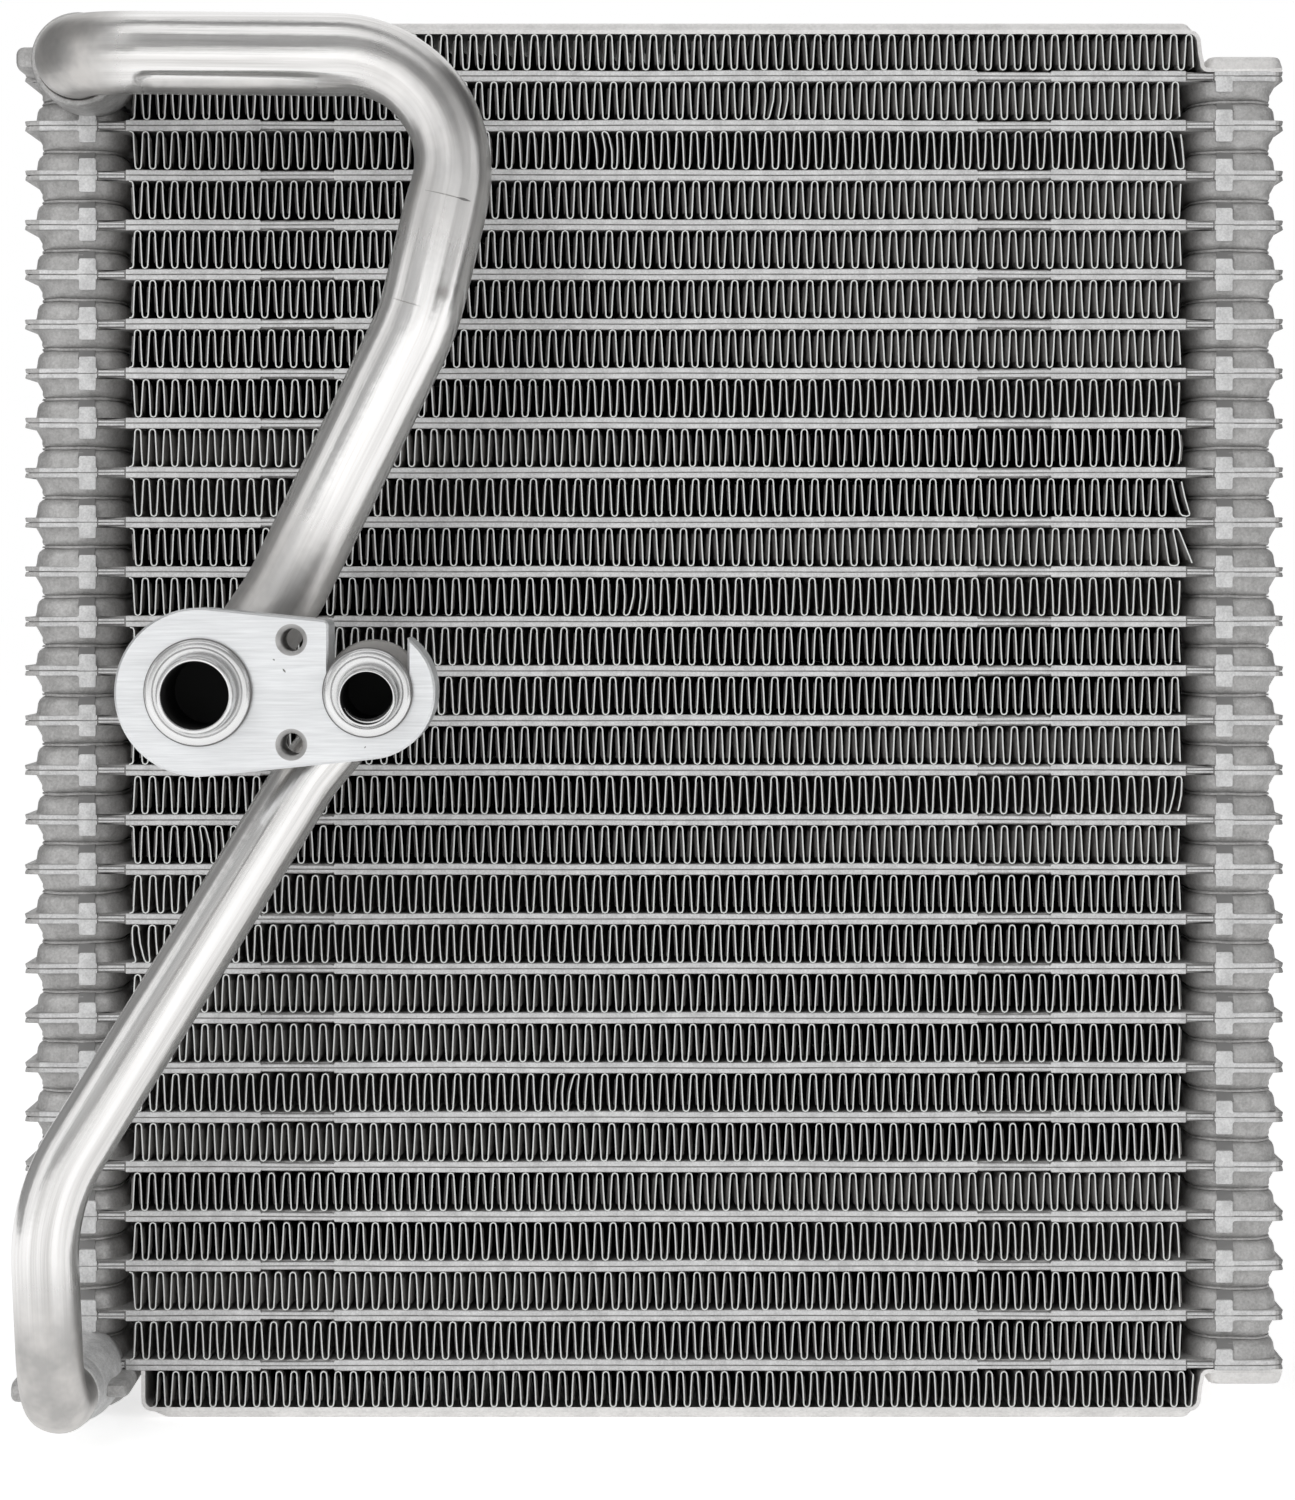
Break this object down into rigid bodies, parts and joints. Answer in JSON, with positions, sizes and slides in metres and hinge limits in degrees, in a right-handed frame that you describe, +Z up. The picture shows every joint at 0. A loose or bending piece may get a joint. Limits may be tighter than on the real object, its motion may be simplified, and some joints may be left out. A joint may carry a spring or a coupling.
{
  "type": "evaporator core",
  "caption": "Upright laminated aluminium evaporator core: flat tubes with side tanks, folded air fins, and two bent pipes held in a ported block.",
  "frame": {"origin": "middle of the core's footprint, on the surface that the lower end plate stands on", "axes": "+Z up through the stack, +X along the tubes away from the pipes, +Y from the pipes' side to the back"},
  "size_m": [0.2522, 0.1245, 0.2795],
  "materials": {
    "brazed_plates": "matte brazed sheet with flux bloom",
    "air_fins": "matte coated fin sheet, bright at cut edges",
    "end_plates": "matte brazed sheet",
    "pipes": "bare drawn tube, satin with bright streaks",
    "port_block": "fine brushed milled bar"
  },
  "bodies": {
    "root": {"tube_01": "brazed_plates", "tube_02": "brazed_plates", "tube_03": "brazed_plates", "tube_04": "brazed_plates", "tube_05": "brazed_plates", "tube_06": "brazed_plates", "tube_07": "brazed_plates", "tube_08": "brazed_plates", "tube_09": "brazed_plates", "tube_10": "brazed_plates", "tube_11": "brazed_plates", "tube_12": "brazed_plates", "tube_13": "brazed_plates", "tube_14": "brazed_plates", "tube_15": "brazed_plates", "tube_16": "brazed_plates", "tube_17": "brazed_plates", "tube_18": "brazed_plates", "tube_19": "brazed_plates", "tube_20": "brazed_plates", "tube_21": "brazed_plates", "tube_22": "brazed_plates", "tube_23": "brazed_plates", "tube_24": "brazed_plates", "tube_25": "brazed_plates", "tube_26": "brazed_plates", "tube_27": "brazed_plates", "fin_01": "air_fins", "fin_02": "air_fins", "fin_03": "air_fins", "fin_04": "air_fins", "fin_05": "air_fins", "fin_06": "air_fins", "fin_07": "air_fins", "fin_08": "air_fins", "fin_09": "air_fins", "fin_10": "air_fins", "fin_11": "air_fins", "fin_12": "air_fins", "fin_13": "air_fins", "fin_14": "air_fins", "fin_15": "air_fins", "fin_16": "air_fins", "fin_17": "air_fins", "fin_18": "air_fins", "fin_19": "air_fins", "fin_20": "air_fins", "fin_21": "air_fins", "fin_22": "air_fins", "fin_23": "air_fins", "fin_24": "air_fins", "fin_25": "air_fins", "fin_26": "air_fins", "fin_27": "air_fins", "fin_28": "air_fins", "end_plate_bottom": "end_plates", "end_plate_top": "end_plates", "suction_pipe": "pipes", "liquid_pipe": "pipes", "block_fitting": "port_block"}
  },
  "joints": []
}
